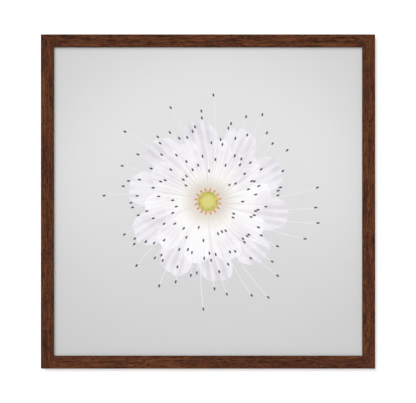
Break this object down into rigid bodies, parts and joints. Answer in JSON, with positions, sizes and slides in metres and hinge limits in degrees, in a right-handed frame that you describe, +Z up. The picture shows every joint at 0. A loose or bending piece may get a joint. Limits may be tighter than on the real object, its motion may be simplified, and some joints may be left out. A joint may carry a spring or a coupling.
{
  "type": "floating frame",
  "caption": "Square walnut floater frame holding a bonded photographic print on an aluminium panel, with D-ring hangers behind.",
  "frame": {"origin": "underside of the bottom rail, half way across the width and half way through the overall depth", "axes": "+X to the viewer's right, +Y from the picture's face back towards the wall, +Z up"},
  "size_m": [0.542, 0.044, 0.542],
  "materials": {
    "walnut": "oiled walnut, fine straight grain",
    "print": "smooth pearl photographic paper",
    "panel_aluminium": "thin rolled sheet, brushed",
    "panel_plastic": "black polyethylene core",
    "foam_tape": "grey acrylic foam tape",
    "pine": "planed pine, unfinished",
    "zinc_steel": "bright zinc plate",
    "cork": "fine agglomerated cork",
    "bumper_rubber": "soft matt rubber"
  },
  "bodies": {
    "frame": {"rail_bottom": "walnut", "rail_top": "walnut", "rail_left": "walnut", "rail_right": "walnut", "v_nails": "zinc_steel", "print_sheet": "print", "panel_front_skin": "panel_aluminium", "panel_core": "panel_plastic", "panel_back_skin": "panel_aluminium", "bond_tapes": "foam_tape", "batten_bottom": "pine", "batten_top": "pine", "batten_left": "pine", "batten_right": "pine", "corner_braces": "zinc_steel", "brace_screws": "zinc_steel", "spacer_washers": "cork", "fixing_screws": "zinc_steel", "centring_pads": "cork", "hanger_strap_left": "zinc_steel", "hanger_strap_right": "zinc_steel", "hanger_screws": "zinc_steel", "wall_bumpers": "bumper_rubber"},
    "ring_left": {"hanger_ring_left": "zinc_steel"},
    "ring_right": {"hanger_ring_right": "zinc_steel"}
  },
  "joints": [
    {"name": "ring_left_swing", "type": "hinge", "parent": "frame", "child": "ring_left", "pos_m": [-0.256, 0.01833, 0.406], "axis": [1, 0, 0], "range_deg": [0, 173]},
    {"name": "ring_right_swing", "type": "hinge", "parent": "frame", "child": "ring_right", "pos_m": [0.256, 0.01833, 0.406], "axis": [1, 0, 0], "range_deg": [0, 173]}
  ]
}
